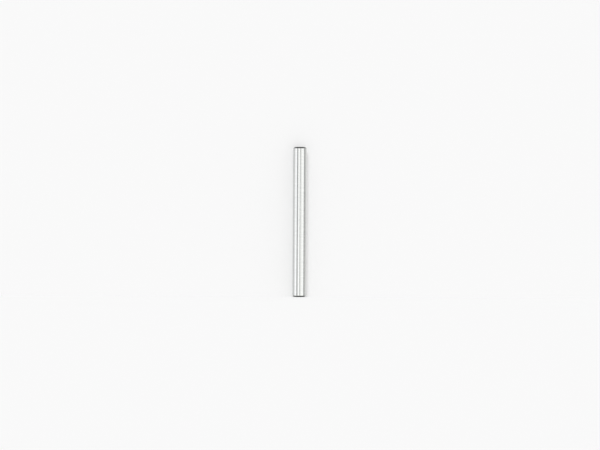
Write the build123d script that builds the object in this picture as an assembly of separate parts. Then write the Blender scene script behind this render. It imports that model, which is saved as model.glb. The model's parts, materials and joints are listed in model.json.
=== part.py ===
from build123d import *
import os
from math import radians, tan

# Guide pin, in millimetres: a plain round steel pin, turned and parted from bar, with a lead-in
# chamfer at each end and a ground shank. It stands on its lower end face. The origin is the
# centre of that face, and +Z runs along the axis.

pin_diameter = 3.7      # over the ground shank
pin_length = 41.2       # over the two end faces
chamfer_length = 0.4    # of each lead-in, along the axis
chamfer_angle = 45.0    # in degrees, between each lead-in and the axis
edge_radius = 0.05      # left by tumbling wherever two turned faces meet

pin_radius = pin_diameter / 2
end_face_radius = pin_radius - chamfer_length * tan(radians(chamfer_angle))


def half_section():
    # The outline that the lathe tool follows, closed along the axis. Its two corners on the
    # axis stay sharp, and the four on the surface get the tumbled edge.
    with BuildSketch(Plane.XZ) as section:
        with BuildLine():
            Polyline(
                (0, 0),
                (end_face_radius, 0),
                (pin_radius, chamfer_length),
                (pin_radius, pin_length - chamfer_length),
                (end_face_radius, pin_length),
                (0, pin_length),
                close=True,
            )
        make_face()
        surface_corners = section.vertices().filter_by_position(
            Axis.X, minimum=end_face_radius / 2, maximum=pin_radius
        )
        fillet(surface_corners, edge_radius)
    return section.sketch


def turned_pin():
    with BuildPart() as pin:
        add(half_section())
        revolve(axis=Axis.Z)
    return pin.part


os.makedirs("parts", exist_ok=True)

guide_pin = turned_pin()
export_step(guide_pin, "parts/guide_pin.step")

print("guide_pin volume in mm3:", round(guide_pin.volume, 2))
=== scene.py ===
import json
from math import atan, cos, pi, radians, sin

import bpy
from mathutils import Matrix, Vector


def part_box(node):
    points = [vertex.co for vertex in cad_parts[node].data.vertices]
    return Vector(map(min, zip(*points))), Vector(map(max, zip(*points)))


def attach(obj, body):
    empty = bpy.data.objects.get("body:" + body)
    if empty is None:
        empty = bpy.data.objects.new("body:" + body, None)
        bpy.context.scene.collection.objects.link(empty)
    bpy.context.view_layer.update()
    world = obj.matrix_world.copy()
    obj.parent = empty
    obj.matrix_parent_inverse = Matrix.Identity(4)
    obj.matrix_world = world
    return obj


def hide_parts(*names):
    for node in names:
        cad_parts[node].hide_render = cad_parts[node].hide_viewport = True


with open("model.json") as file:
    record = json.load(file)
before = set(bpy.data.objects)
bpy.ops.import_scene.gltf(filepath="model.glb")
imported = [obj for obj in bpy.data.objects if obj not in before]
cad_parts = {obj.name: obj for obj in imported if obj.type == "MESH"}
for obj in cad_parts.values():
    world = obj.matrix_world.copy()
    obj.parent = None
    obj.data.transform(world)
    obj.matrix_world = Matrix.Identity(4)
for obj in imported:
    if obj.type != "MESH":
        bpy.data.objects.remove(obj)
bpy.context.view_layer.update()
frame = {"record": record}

# a plain guide pin: turned, chamfered at both ends and ground along its shank

mm = 0.001                      # lengths are in metres where no name or note says mm
pinLow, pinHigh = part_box("guide_pin")
shankMount = next(m for m in frame["record"]["mounts"] if m["name"] == "shank")


# small helpers for node trees


def addNode(tree, kind, inputs=None, **settings):
    node = tree.nodes.new(kind)
    for name, value in settings.items():
        setattr(node, name, value)
    for key, value in (inputs or {}).items():
        plug(tree, node.inputs[key], value)
    return node


def plug(tree, socket, value):
    if isinstance(value, bpy.types.NodeSocket):
        tree.links.new(value, socket)
    else:
        socket.default_value = value


def calc(tree, operation, *values):
    node = tree.nodes.new("ShaderNodeMath")
    node.operation = operation
    for socket, value in zip(node.inputs, values):
        plug(tree, socket, value)
    return node.outputs[0]


def vectorCalc(tree, operation, *values):
    node = tree.nodes.new("ShaderNodeVectorMath")
    node.operation = operation
    for socket, value in zip(node.inputs, values):
        plug(tree, socket, value)
    return node.outputs[0]


def remap(tree, value, fromRange, toRange, smooth=False):
    node = addNode(tree, "ShaderNodeMapRange", {
        "Value": value,
        "From Min": fromRange[0], "From Max": fromRange[1],
        "To Min": toRange[0], "To Max": toRange[1],
    })
    node.interpolation_type = "SMOOTHSTEP" if smooth else "LINEAR"
    return node.outputs[0]


def blendColours(tree, factor, first, second):
    node = addNode(tree, "ShaderNodeMix", data_type="RGBA")
    plug(tree, node.inputs[0], factor)
    plug(tree, node.inputs[6], first)
    plug(tree, node.inputs[7], second)
    return node.outputs[2]


def openGroup(name, treeType, inputs, outputs):
    tree = bpy.data.node_groups.new(name, treeType)
    for inOut, sockets in (("INPUT", inputs), ("OUTPUT", outputs)):
        for label, kind in sockets:
            tree.interface.new_socket(name=label, in_out=inOut, socket_type="NodeSocket" + kind)
    start = tree.nodes.new("NodeGroupInput").outputs
    end = tree.nodes.new("NodeGroupOutput").inputs
    return tree, start, end


def useGroup(tree, group, inputs):
    node = tree.nodes.new("ShaderNodeGroup")
    node.node_tree = group
    for key, value in inputs.items():
        plug(tree, node.inputs[key], value)
    return node.outputs


# the pin: one outline turned about the axis

pinShape = {
    "radius": shankMount["dims"]["r_mm"] * mm,
    "length": pinHigh.z - pinLow.z,
    "chamfer": 0.4 * mm,        # as deep as it is long
    "edgeTurn": 45.0,           # degrees from one cut to the next
    "edgeRadius": 0.05 * mm,    # tumbled edges
    "edgeSteps": 9,
    "ringSpacing": 0.25 * mm,   # rings along the shank and across the end faces
    "sides": 256,
    "mergeWithin": 0.001 * mm,  # closes the seam and the middle of each end
    "mapName": "OFBake",        # the flat map that a bake draws on
    "mapColumns": 4,
    "mapMargin": 0.02,          # of a column, left free all round it
}


def unroll(tree, start, netMap, reached):
    # the pin's skin laid flat in columns side by side, each one turn wide and a stretch of the
    # outline high; a face lies whole in the column that its middle falls in
    reached = addNode(tree, "GeometryNodeFieldOnDomain", {"Value": reached}, domain="POINT")
    middle = addNode(tree, "GeometryNodeFieldOnDomain", {"Value": reached.outputs[0]}, domain="FACE")
    columns = start["Map Columns"]
    column = calc(tree, "FLOOR", calc(tree, "MULTIPLY", middle.outputs[0], columns))
    upwards = calc(tree, "SUBTRACT", calc(tree, "MULTIPLY", reached.outputs[0], columns), column)
    sideways = addNode(tree, "ShaderNodeSeparateXYZ", {0: netMap}).outputs["X"]
    margin = start["Map Margin"]
    used = calc(tree, "MULTIPLY_ADD", margin, -2.0, 1.0)        # what two margins leave
    upwards = calc(tree, "MULTIPLY_ADD", upwards, used, margin)
    sideways = calc(tree, "MULTIPLY_ADD", sideways, used, margin)
    sideways = calc(tree, "DIVIDE", calc(tree, "ADD", sideways, column), columns)
    return addNode(tree, "ShaderNodeCombineXYZ", {"X": sideways, "Y": upwards}).outputs[0]


def buildTurningTree():
    tree, start, end = openGroup(
        "turnedPin", "GeometryNodeTree",
        [
            ("Geometry", "Geometry"), ("Radius", "Float"), ("Length", "Float"),
            ("Chamfer", "Float"), ("Edge Radius", "Float"), ("Edge Steps", "Int"),
            ("Ring Spacing", "Float"), ("Sides", "Int"), ("Merge Within", "Float"),
            ("Map Columns", "Int"), ("Map Margin", "Float"), ("Shank Finish", "Material"),
            ("Chamfer Finish", "Material"), ("Face Finish", "Material"),
        ],
        [("Geometry", "Geometry")],
    )
    tree.is_modifier = True

    # half of the outline, from the axis round the surface and back to the axis
    faceRadius = calc(tree, "SUBTRACT", start["Radius"], start["Chamfer"])
    upperEdge = calc(tree, "SUBTRACT", start["Length"], start["Chamfer"])
    corners = (
        (0.0, 0.0),
        (faceRadius, 0.0),
        (start["Radius"], start["Chamfer"]),
        (start["Radius"], upperEdge),
        (faceRadius, start["Length"]),
        (0.0, start["Length"]),
    )
    pick = addNode(tree, "GeometryNodeIndexSwitch", data_type="VECTOR")
    while len(pick.index_switch_items) < len(corners):
        pick.index_switch_items.new()
    index = tree.nodes.new("GeometryNodeInputIndex").outputs[0]
    plug(tree, pick.inputs[0], index)
    for socket, (across, up) in zip(list(pick.inputs)[1:], corners):
        corner = addNode(tree, "ShaderNodeCombineXYZ", {"X": across, "Z": up})
        plug(tree, socket, corner.outputs[0])
    line = addNode(tree, "GeometryNodeMeshLine", {"Count": len(corners)})
    placed = addNode(tree, "GeometryNodeSetPosition", {
        "Geometry": line.outputs[0], "Position": pick.outputs[0],
    })
    outline = addNode(tree, "GeometryNodeMeshToCurve", {"Mesh": placed.outputs[0]})
    rounded = addNode(tree, "GeometryNodeFilletCurve", {
        "Curve": outline.outputs[0],
        "Count": start["Edge Steps"],
        "Radius": start["Edge Radius"],
        "Limit Radius": True,
    }, mode="POLY")

    # more points on each long stretch of it
    position = tree.nodes.new("GeometryNodeInputPosition").outputs[0]
    nextPoint = addNode(tree, "GeometryNodeFieldAtIndex", {
        "Index": calc(tree, "ADD", index, 1.0),
        "Value": position,
    }, data_type="FLOAT_VECTOR", domain="POINT")
    stretch = addNode(tree, "ShaderNodeVectorMath", {0: position, 1: nextPoint.outputs[0]})
    stretch.operation = "DISTANCE"
    spacings = calc(tree, "DIVIDE", stretch.outputs["Value"], start["Ring Spacing"])
    rings = calc(tree, "FLOOR", spacings)
    divided = addNode(tree, "GeometryNodeSubdivideCurve", {
        "Curve": rounded.outputs[0], "Cuts": rings,
    })

    # a flat net wrapped round the axis: one column for each side, one row for each outline point,
    # numbered column by column; the half keeps the division clear of rounding
    count = addNode(tree, "GeometryNodeAttributeDomainSize", {
        "Geometry": divided.outputs[0],
    }, component="CURVE").outputs["Point Count"]
    net = addNode(tree, "GeometryNodeMeshGrid", {
        "Vertices X": calc(tree, "ADD", start["Sides"], 1.0),
        "Vertices Y": count,
    })
    row = calc(tree, "FLOORED_MODULO", index, count)
    column = calc(tree, "FLOOR", calc(tree, "DIVIDE", calc(tree, "ADD", index, 0.5), count))
    turn = calc(tree, "MULTIPLY", calc(tree, "DIVIDE", column, start["Sides"]), 2 * pi)
    sampled = addNode(tree, "GeometryNodeSampleIndex", {
        "Geometry": divided.outputs[0], "Value": position, "Index": row,
    }, data_type="FLOAT_VECTOR", domain="POINT")
    outlinePoint = addNode(tree, "ShaderNodeSeparateXYZ", {0: sampled.outputs[0]}).outputs
    turned = addNode(tree, "ShaderNodeCombineXYZ", {
        "X": calc(tree, "MULTIPLY", outlinePoint["X"], calc(tree, "COSINE", turn)),
        "Y": calc(tree, "MULTIPLY", outlinePoint["X"], calc(tree, "SINE", turn)),
        "Z": outlinePoint["Z"],
    })
    reached = addNode(tree, "GeometryNodeSampleIndex", {
        "Geometry": divided.outputs[0],
        "Value": tree.nodes.new("GeometryNodeSplineParameter").outputs["Factor"],
        "Index": row,
    }, data_type="FLOAT", domain="POINT")
    mapped = addNode(tree, "GeometryNodeStoreNamedAttribute", {
        "Geometry": net.outputs[0],
        "Name": pinShape["mapName"],
        "Value": unroll(tree, start, net.outputs["UV Map"], reached.outputs[0]),
    }, data_type="FLOAT2", domain="CORNER")
    wrapped = addNode(tree, "GeometryNodeSetPosition", {
        "Geometry": mapped.outputs[0], "Position": turned.outputs[0],
    })
    closed = addNode(tree, "GeometryNodeMergeByDistance", {
        "Geometry": wrapped.outputs[0], "Distance": start["Merge Within"],
    })
    smooth = addNode(tree, "GeometryNodeSetShadeSmooth", {"Geometry": closed.outputs[0]})

    # which way a face looks says which cut made it; a cut ends half-way round its edge
    normal = tree.nodes.new("GeometryNodeInputNormal").outputs[0]
    rise = addNode(tree, "ShaderNodeSeparateXYZ", {0: normal}).outputs["Z"]
    upwards = calc(tree, "ABSOLUTE", rise)
    halfTurn = radians(pinShape["edgeTurn"] / 2)
    isChamfer = calc(tree, "GREATER_THAN", upwards, sin(halfTurn))
    isFace = calc(tree, "GREATER_THAN", upwards, cos(halfTurn))
    real = addNode(tree, "GeometryNodeRealizeInstances", {"Geometry": smooth.outputs[0]})
    finished = real.outputs[0]
    for selection, finish in ((True, "Shank"), (isChamfer, "Chamfer"), (isFace, "Face")):
        finished = addNode(tree, "GeometryNodeSetMaterial", {
            "Geometry": finished, "Selection": selection, "Material": start[finish + " Finish"],
        }).outputs[0]
    plug(tree, end["Geometry"], finished)
    return tree


def makePin(finishes):
    tree = buildTurningTree()
    blank = bpy.data.meshes.new("pinBlank")
    raw = bpy.data.objects.new("pinBlank", blank)
    bpy.context.scene.collection.objects.link(raw)
    turning = raw.modifiers.new("turning", "NODES")
    turning.node_group = tree
    values = {
        "Radius": pinShape["radius"],
        "Length": pinShape["length"],
        "Chamfer": pinShape["chamfer"],
        "Edge Radius": pinShape["edgeRadius"],
        "Edge Steps": pinShape["edgeSteps"],
        "Ring Spacing": pinShape["ringSpacing"],
        "Sides": pinShape["sides"],
        "Merge Within": pinShape["mergeWithin"],
        "Map Columns": pinShape["mapColumns"],
        "Map Margin": pinShape["mapMargin"],
        "Shank Finish": finishes["shank"],
        "Chamfer Finish": finishes["chamfer"],
        "Face Finish": finishes["face"],
    }
    for item in tree.interface.items_tree:
        if item.in_out == "INPUT" and item.name in values:
            turning[item.identifier] = values[item.name]
    seen = raw.evaluated_get(bpy.context.evaluated_depsgraph_get())
    mesh = bpy.data.meshes.new_from_object(seen)
    raw.modifiers.remove(turning)
    bpy.data.objects.remove(raw)
    bpy.data.meshes.remove(blank)
    mesh.name = "groundPin"
    while None in list(mesh.materials):     # a slot that no face uses
        mesh.materials.pop(index=list(mesh.materials).index(None))
    pin = bpy.data.objects.new("groundPin", mesh)
    bpy.context.scene.collection.objects.link(pin)
    return pin


# effects that the three finishes share

noiseSpan = (0.3, 0.7)          # what a noise texture's values mostly cover

markLook = {
    "lineDetail": 2.0,
    "bandPitches": 5.0,         # how many lines wide a band of tone is
    "bandDetail": 5.0,
    "roughness": 0.6,
}


def buildToolMarks():
    # fine lines left by the wheel or the tool, at right angles to Across, which is in mm
    tree, start, end = openGroup(
        "toolMarks", "ShaderNodeTree",
        [("Across", "Float"), ("Around", "Vector"), ("Pitch", "Float"), ("Wander", "Float")],
        [("Height", "Float"), ("Band", "Float")],
    )
    wander = vectorCalc(tree, "SCALE", start["Around"])
    plug(tree, wander.node.inputs["Scale"], start["Wander"])
    for output, pitches, detail in (
        ("Height", 1.0, markLook["lineDetail"]),
        ("Band", markLook["bandPitches"], markLook["bandDetail"]),
    ):
        pitch = calc(tree, "MULTIPLY", start["Pitch"], pitches)
        lines = calc(tree, "DIVIDE", start["Across"], pitch)
        across = addNode(tree, "ShaderNodeCombineXYZ", {"Z": lines})
        place = vectorCalc(tree, "ADD", wander, across.outputs[0])
        noise = addNode(tree, "ShaderNodeTexNoise", {
            "Vector": place, "Scale": 1.0, "Detail": detail, "Roughness": markLook["roughness"],
        })
        plug(tree, end[output], noise.outputs[0])
    return tree


wearLook = {
    "ragged": {"Scale": 3.0, "Detail": 4.0, "Roughness": 0.65},
    "reachSpan": (0.3, 1.6),    # its least and most, against the reach that a finish gives
}


def buildEdgeWear():
    # a burnished line along an edge, broken up as handling leaves it; Distance and Reach in mm
    tree, start, end = openGroup(
        "edgeWear", "ShaderNodeTree",
        [("Distance", "Float"), ("Reach", "Float"), ("Place", "Vector")],
        [("Wear", "Float")],
    )
    ragged = addNode(tree, "ShaderNodeTexNoise", {"Vector": start["Place"], **wearLook["ragged"]})
    uneven = remap(tree, ragged.outputs[0], noiseSpan, wearLook["reachSpan"])
    reach = calc(tree, "MULTIPLY", start["Reach"], uneven)
    nearness = calc(tree, "SUBTRACT", 1.0, calc(tree, "DIVIDE", start["Distance"], reach))
    wear = addNode(tree, "ShaderNodeClamp", {"Value": nearness})
    plug(tree, end["Wear"], wear.outputs[0])
    return tree


handlingLook = {
    "scuffStretch": (9.0, 9.0, 0.35),       # narrow across the pin, long along it
    "scuffs": {"Scale": 1.6, "Detail": 2.0, "Roughness": 0.5},
    "scuffSpan": (0.64, 0.72),              # where one starts to show, and where it is whole
    "scuffedSpan": (0.48, 0.6),             # the same for the patches that hold them
    "smudges": {"Scale": 0.35, "Detail": 3.0, "Roughness": 0.55},
    "smudgeSpan": (0.35, 0.7),
}


def buildHandling():
    # sparse scuffs along the axis from sliding in a bore, and soft finger smudges; Place in mm
    tree, start, end = openGroup(
        "handling", "ShaderNodeTree",
        [("Place", "Vector"), ("Seed", "Float")],
        [("Scuff", "Float"), ("Smudge", "Float")],
    )
    drawn = vectorCalc(tree, "MULTIPLY", start["Place"], handlingLook["scuffStretch"])
    lines = addNode(tree, "ShaderNodeTexNoise", {
        "Vector": drawn, "W": start["Seed"], **handlingLook["scuffs"],
    }, noise_dimensions="4D").outputs[0]
    patches = addNode(tree, "ShaderNodeTexNoise", {
        "Vector": start["Place"], "W": start["Seed"], **handlingLook["smudges"],
    }, noise_dimensions="4D").outputs[0]
    scuff = remap(tree, lines, handlingLook["scuffSpan"], (0.0, 1.0), smooth=True)
    scuffed = remap(tree, patches, handlingLook["scuffedSpan"], (0.0, 1.0), smooth=True)
    smudge = remap(tree, patches, handlingLook["smudgeSpan"], (0.0, 1.0), smooth=True)
    plug(tree, end["Scuff"], calc(tree, "MULTIPLY", scuff, scuffed))
    plug(tree, end["Smudge"], smudge)
    return tree


toolMarks = buildToolMarks()
edgeWear = buildEdgeWear()
handling = buildHandling()
print("shared effects built")


def placeOnPin(tree):
    # where a point of the surface is, in mm, and which way is out from the axis there
    local = tree.nodes.new("ShaderNodeTexCoord").outputs["Object"]
    place = vectorCalc(tree, "SCALE", local)
    place.node.inputs["Scale"].default_value = 1 / mm
    flat = vectorCalc(tree, "MULTIPLY", place, (1.0, 1.0, 0.0))
    outwards = vectorCalc(tree, "NORMALIZE", flat)
    fromAxis = addNode(tree, "ShaderNodeVectorMath", {0: flat}, operation="LENGTH").outputs["Value"]
    height = addNode(tree, "ShaderNodeSeparateXYZ", {0: place}).outputs["Z"]
    return {"place": place, "outwards": outwards, "fromAxis": fromAxis, "height": height}


def startFinish(name):
    material = bpy.data.materials.new(name)
    material.use_nodes = True
    tree = material.node_tree
    tree.nodes.clear()
    shader = tree.nodes.new("ShaderNodeBsdfPrincipled")
    output = tree.nodes.new("ShaderNodeOutputMaterial")
    tree.links.new(shader.outputs[0], output.inputs["Surface"])
    shader.inputs["Metallic"].default_value = 1.0
    return material, tree, shader


steelLook = {
    "wornShare": 0.6,           # how much of the worn tone shows on an edge
    "scuffShare": 0.35,
    "scuffRoughness": 0.1,
    "scuffDepth": 0.5,          # against the tool marks' own depth
    "wornGloss": 0.05,          # roughness that wear takes off
    "glintTurn": 0.25,          # of a turn: highlights stretch across the tool marks
}


def steelFinish(name, look, toEdge):
    # toEdge builds the distance in mm from a point to the nearest edge of its own cut
    material, tree, shader = startFinish(name)
    spot = placeOnPin(tree)
    marks = useGroup(tree, toolMarks, {
        "Across": spot[look["across"]],
        "Around": spot["outwards"],
        "Pitch": look["pitch"],
        "Wander": look["wander"],
    })
    wear = useGroup(tree, edgeWear, {
        "Distance": toEdge(tree, spot),
        "Reach": look["wearReach"],
        "Place": spot["place"],
    })["Wear"]
    touched = useGroup(tree, handling, {"Place": spot["place"], "Seed": look["seed"]})

    tone = remap(tree, marks["Band"], noiseSpan, (0.0, 1.0))
    colour = blendColours(tree, tone, look["darkTone"], look["lightTone"])
    worn = calc(tree, "MULTIPLY", wear, steelLook["wornShare"])
    colour = blendColours(tree, worn, colour, look["wornTone"])
    scuffed = calc(tree, "MULTIPLY", touched["Scuff"], steelLook["scuffShare"])
    colour = blendColours(tree, scuffed, colour, look["scuffTone"])
    plug(tree, shader.inputs["Base Color"], colour)

    rough = remap(tree, marks["Band"], noiseSpan, look["roughness"])
    for mask, change in (
        (touched["Smudge"], look["smudgeRoughness"]),
        (touched["Scuff"], steelLook["scuffRoughness"]),
        (wear, -steelLook["wornGloss"]),
    ):
        rough = calc(tree, "MULTIPLY_ADD", mask, change, rough)
    plug(tree, shader.inputs["Roughness"], rough)

    dented = calc(tree, "MULTIPLY_ADD", touched["Scuff"], -steelLook["scuffDepth"], marks["Height"])
    bump = addNode(tree, "ShaderNodeBump", {
        "Strength": 1.0, "Distance": look["markDepth"] * mm, "Height": dented,
    })
    plug(tree, shader.inputs["Normal"], bump.outputs[0])
    shader.inputs["Anisotropic"].default_value = look["anisotropy"]
    shader.inputs["Anisotropic Rotation"].default_value = steelLook["glintTurn"]
    around = tree.nodes.new("ShaderNodeTangent")
    around.direction_type = "RADIAL"
    around.axis = "Z"
    plug(tree, shader.inputs["Tangent"], around.outputs[0])
    return material


# the three cuts; pitch, wearReach and markDepth are in mm

groundShank = {
    "across": "height",         # what the tool marks cross
    "pitch": 0.045,
    "wander": 0.9,              # how much a mark changes on its way round
    "wearReach": 0.25,
    "seed": 3.0,
    "darkTone": (0.67, 0.675, 0.68, 1.0),
    "lightTone": (0.75, 0.75, 0.745, 1.0),
    "wornTone": (0.8, 0.8, 0.79, 1.0),
    "scuffTone": (0.5, 0.5, 0.5, 1.0),
    "roughness": (0.12, 0.18),
    "smudgeRoughness": 0.04,
    "markDepth": 0.0006,
    "anisotropy": 0.5,
}
turnedChamferPaintedDark = {
    "across": "fromAxis",
    "pitch": 0.035,
    "wander": 0.8,
    "wearReach": 0.045,
    "seed": 11.0,
    # painted dark reflection: these near-black tones darken the chamfers to stand in for the dark
    # surroundings that polished steel chamfers reflect; the spread between them is the turning
    # marks' random tone
    "darkTone": (0.095, 0.097, 0.1, 1.0),
    "lightTone": (0.16, 0.162, 0.162, 1.0),
    "wornTone": (0.28, 0.28, 0.275, 1.0),
    "scuffTone": (0.1, 0.1, 0.1, 1.0),
    "roughness": (0.28, 0.38),
    "smudgeRoughness": 0.04,
    "markDepth": 0.002,
    "anisotropy": 0.4,
}
facedEnd = {
    "across": "fromAxis",
    "pitch": 0.07,
    "wander": 0.6,
    "wearReach": 0.1,
    "seed": 23.0,
    "darkTone": (0.48, 0.483, 0.486, 1.0),
    "lightTone": (0.62, 0.62, 0.615, 1.0),
    "wornTone": (0.72, 0.72, 0.71, 1.0),
    "scuffTone": (0.38, 0.38, 0.38, 1.0),
    "roughness": (0.22, 0.32),
    "smudgeRoughness": 0.05,
    "markDepth": 0.003,
    "anisotropy": 0.4,
}

radiusMm = pinShape["radius"] / mm
lengthMm = pinShape["length"] / mm
chamferMm = pinShape["chamfer"] / mm
faceRadiusMm = radiusMm - chamferMm


def shankEdge(tree, spot):
    fromLower = calc(tree, "SUBTRACT", spot["height"], chamferMm)
    fromUpper = calc(tree, "SUBTRACT", lengthMm - chamferMm, spot["height"])
    return calc(tree, "MINIMUM", fromLower, fromUpper)


def chamferEdge(tree, spot):
    fromShank = calc(tree, "SUBTRACT", radiusMm, spot["fromAxis"])
    fromFace = calc(tree, "SUBTRACT", spot["fromAxis"], faceRadiusMm)
    return calc(tree, "MINIMUM", fromShank, fromFace)


def faceEdge(tree, spot):
    return calc(tree, "SUBTRACT", faceRadiusMm, spot["fromAxis"])


finishes = {
    "shank": steelFinish("groundShank", groundShank, shankEdge),
    "chamfer": steelFinish("turnedChamferPaintedDark", turnedChamferPaintedDark, chamferEdge),
    "face": steelFinish("facedEnd", facedEnd, faceEdge),
}
print("steel finishes built")

pin = makePin(finishes)
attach(pin, "root")
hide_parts("guide_pin")
print("pin turned:", len(pin.data.vertices), "points")


# the stage: a pale floor, and a pale backdrop close behind the pin that takes its soft shadow

stageLook = {
    "tone": (0.95, 0.95, 0.95, 1.0),
    "gap": 0.03 * mm,           # between the pin's back and the backdrop
    "reach": 1.4,               # to each side, and up
}


def stageFinish():
    material = bpy.data.materials.new("paleStage")
    material.use_nodes = True
    tree = material.node_tree
    tree.nodes.clear()
    pale = addNode(tree, "ShaderNodeBsdfDiffuse", {"Color": stageLook["tone"]})
    clear = tree.nodes.new("ShaderNodeBsdfTransparent")
    behind = tree.nodes.new("ShaderNodeNewGeometry").outputs["Backfacing"]
    mixed = addNode(tree, "ShaderNodeMixShader", {
        0: behind, 1: pale.outputs[0], 2: clear.outputs[0],
    })
    output = tree.nodes.new("ShaderNodeOutputMaterial")
    tree.links.new(mixed.outputs[0], output.inputs["Surface"])
    return material


def makeStage(name, corners, material):
    mesh = bpy.data.meshes.new(name)
    mesh.from_pydata(corners, [], [tuple(range(len(corners)))])
    mesh.materials.append(material)
    piece = bpy.data.objects.new(name, mesh)
    bpy.context.scene.collection.objects.link(piece)
    piece.visible_glossy = False        # the steel sees the studio beyond it
    piece.visible_diffuse = False
    piece.visible_shadow = False


pale = stageFinish()
reach = stageLook["reach"]
back = pinShape["radius"] + stageLook["gap"]
floorCorners = [(-reach, -reach, 0), (reach, -reach, 0), (reach, reach, 0), (-reach, reach, 0)]
backdropCorners = [(-reach, back, 0), (reach, back, 0), (reach, back, reach), (-reach, back, reach)]
makeStage("floor", floorCorners, pale)
makeStage("backdrop", backdropCorners, pale)
print("stage laid")


# the light: a pale tent round the pin, and one soft lamp for its shadow

tent = {
    "fill": 0.68,               # what lights the stage
    "fillLean": 0.15,           # the right's share above the front's
    "fillTint": (1.0, 1.0, 1.0, 1.0),
    "wall": 1.1,                # what the steel sees between the strips
    "pole": 0.6,                # above and below, where the chamfers look
    "poleSpan": (38.0, 66.0),   # degrees above or below the level, where the wall turns into it
    "fadeSpan": (12.0, 24.0),   # degrees above the level, where the strips fade into the wall
    "leftTint": (0.992, 1.002, 1.004, 1.0),
    "rightTint": (1.0, 1.012, 0.988, 1.0),
    "tintSpan": (-0.9, 0.1),    # where one turns into the other; -1 is the left, 1 the right
}
# degrees round the pin from the camera, to its right; light above or below the wall's
tentStrips = (
    {"at": -131.5, "half": 38.0, "soft": 21.0, "light": -0.34},
    {"at": -63.0, "half": 22.0, "soft": 12.0, "light": 0.28},
    {"at": -38.0, "half": 11.0, "soft": 2.0, "light": -0.8},
    {"at": -14.0, "half": 20.5, "soft": 14.5, "light": 0.29},
    {"at": 7.0, "half": 4.7, "soft": 2.0, "light": -0.71},
    {"at": 55.0, "half": 21.5, "soft": 9.5, "light": 0.25},
    {"at": 90.5, "half": 15.3, "soft": 2.0, "light": -0.6},
    {"at": 128.0, "half": 11.2, "soft": 9.7, "light": -0.59},
    {"at": 180.0, "half": 12.0, "soft": 8.0, "light": 0.28},
)


def buildStrip():
    tree, start, end = openGroup(
        "tentStrip", "ShaderNodeTree",
        [
            ("Azimuth", "Float"), ("At", "Float"), ("Half", "Float"),
            ("Soft", "Float"), ("Light", "Float"),
        ],
        [("Light", "Float")],
    )
    # how far from the strip's middle, the short way round
    fromMiddle = calc(tree, "SUBTRACT", start["Azimuth"], start["At"])
    away = calc(tree, "ABSOLUTE", calc(tree, "WRAP", fromMiddle, 180.0, -180.0))
    inner = calc(tree, "SUBTRACT", start["Half"], start["Soft"])
    outer = calc(tree, "ADD", start["Half"], start["Soft"])
    share = remap(tree, away, (inner, outer), (1.0, 0.0), smooth=True)
    plug(tree, end["Light"], calc(tree, "MULTIPLY", share, start["Light"]))
    return tree


def mixValues(tree, factor, first, second):
    node = addNode(tree, "ShaderNodeMix", {0: factor, 2: first, 3: second}, data_type="FLOAT")
    return node.outputs[0]


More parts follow.
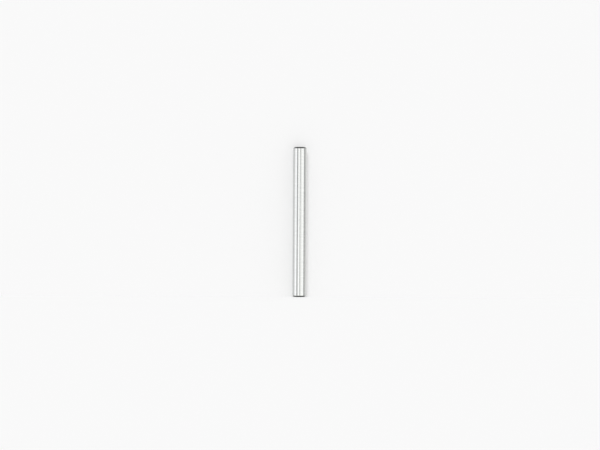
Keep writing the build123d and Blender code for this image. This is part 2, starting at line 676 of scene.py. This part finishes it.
def buildWorld():
    world = bpy.data.worlds.new("tent")
    bpy.context.scene.world = world
    world.use_nodes = True
    tree = world.node_tree
    tree.nodes.clear()
    strip = buildStrip()
    # which way a ray goes out into the tent
    direction = addNode(tree, "ShaderNodeSeparateXYZ", {
        0: tree.nodes.new("ShaderNodeTexCoord").outputs["Generated"],
    }).outputs
    towardsCamera = calc(tree, "MULTIPLY", direction["Y"], -1.0)
    azimuth = calc(tree, "DEGREES", calc(tree, "ARCTAN2", direction["X"], towardsCamera))
    elevation = calc(tree, "DEGREES", calc(tree, "ARCSINE", direction["Z"]))

    # the wall with its strips, and the darker poles
    strips = 0.0
    for values in tentStrips:
        light = useGroup(tree, strip, {
            "Azimuth": azimuth, "At": values["at"], "Half": values["half"],
            "Soft": values["soft"], "Light": values["light"],
        })["Light"]
        strips = calc(tree, "ADD", strips, light)
    shown = remap(tree, elevation, tent["fadeSpan"], (1.0, 0.0), smooth=True)
    seen = calc(tree, "MULTIPLY_ADD", strips, shown, tent["wall"])
    fromLevel = calc(tree, "ABSOLUTE", elevation)
    pole = remap(tree, fromLevel, tent["poleSpan"], (0.0, 1.0), smooth=True)
    seen = mixValues(tree, pole, seen, tent["pole"])

    # the camera sees a plain background, the steel the tent, and the stage an even fill
    side = remap(tree, direction["X"], tent["tintSpan"], (0.0, 1.0))
    tint = blendColours(tree, side, tent["leftTint"], tent["rightTint"])
    rays = tree.nodes.new("ShaderNodeLightPath").outputs
    plain = calc(tree, "MAXIMUM", rays["Is Camera Ray"], rays["Is Transmission Ray"])
    colour = blendColours(tree, plain, tent["fillTint"], stageLook["tone"])
    colour = blendColours(tree, rays["Is Glossy Ray"], colour, tint)
    fill = calc(tree, "MULTIPLY_ADD", direction["X"], tent["fill"] * tent["fillLean"], tent["fill"])
    strength = mixValues(tree, plain, fill, 1.0)
    strength = mixValues(tree, rays["Is Glossy Ray"], strength, seen)
    background = addNode(tree, "ShaderNodeBackground", {"Color": colour, "Strength": strength})
    output = tree.nodes.new("ShaderNodeOutputWorld")
    tree.links.new(background.outputs[0], output.inputs["Surface"])


lamp = {
    "azimuth": -8.0,            # degrees from the camera, to its right
    "softness": 23.0,           # degrees across
}


def makeLamp():
    # at this height it lights the floor and the backdrop alike, so no line shows where they meet
    elevation = atan(cos(radians(lamp["azimuth"])))
    data = bpy.data.lights.new("lamp", "SUN")
    # it brings what the fill leaves, so that the stage renders as its own tone
    data.energy = (1 - tent["fill"]) * pi / sin(elevation)
    data.angle = radians(lamp["softness"])
    piece = bpy.data.objects.new("lamp", data)
    bpy.context.scene.collection.objects.link(piece)
    piece.rotation_euler = (pi / 2 - elevation, 0, radians(lamp["azimuth"]))
    piece.visible_glossy = False        # the tent is what the steel shows


buildWorld()
makeLamp()
print("studio lit")


# the camera: level with the pin, square on to its side

photo = {
    "width": 600,
    "height": 450,
    "pixelsPerMm": 3.638,
    "pinAt": (299.0, 221.5),    # the pin's middle, in pixels
    "lean": 0.35,               # degrees, its upper end to the right
    "distance": 0.7,
    "sensor": 36.0,             # mm
    "nearest": 0.01,            # the camera shows nothing nearer
    "furthest": 20.0,           # or further off
}


def makeCamera():
    data = bpy.data.cameras.new("camera")
    data.sensor_width = photo["sensor"]
    wide = photo["width"] / photo["pixelsPerMm"] * mm
    data.lens = photo["sensor"] * photo["distance"] / wide
    data.clip_start = photo["nearest"]
    data.clip_end = photo["furthest"]
    camera = bpy.data.objects.new("camera", data)
    bpy.context.scene.collection.objects.link(camera)
    pixel = mm / photo["pixelsPerMm"]
    offX = photo["pinAt"][0] - (photo["width"] - 1) / 2     # pixels count from 0
    offY = photo["pinAt"][1] - (photo["height"] - 1) / 2
    camera.location = (-offX * pixel, -photo["distance"], pinShape["length"] / 2 + offY * pixel)
    camera.rotation_euler = (pi / 2, radians(-photo["lean"]), 0)
    bpy.context.scene.camera = camera


makeCamera()
bpy.context.scene.view_settings.view_transform = "Standard"
print("camera set")
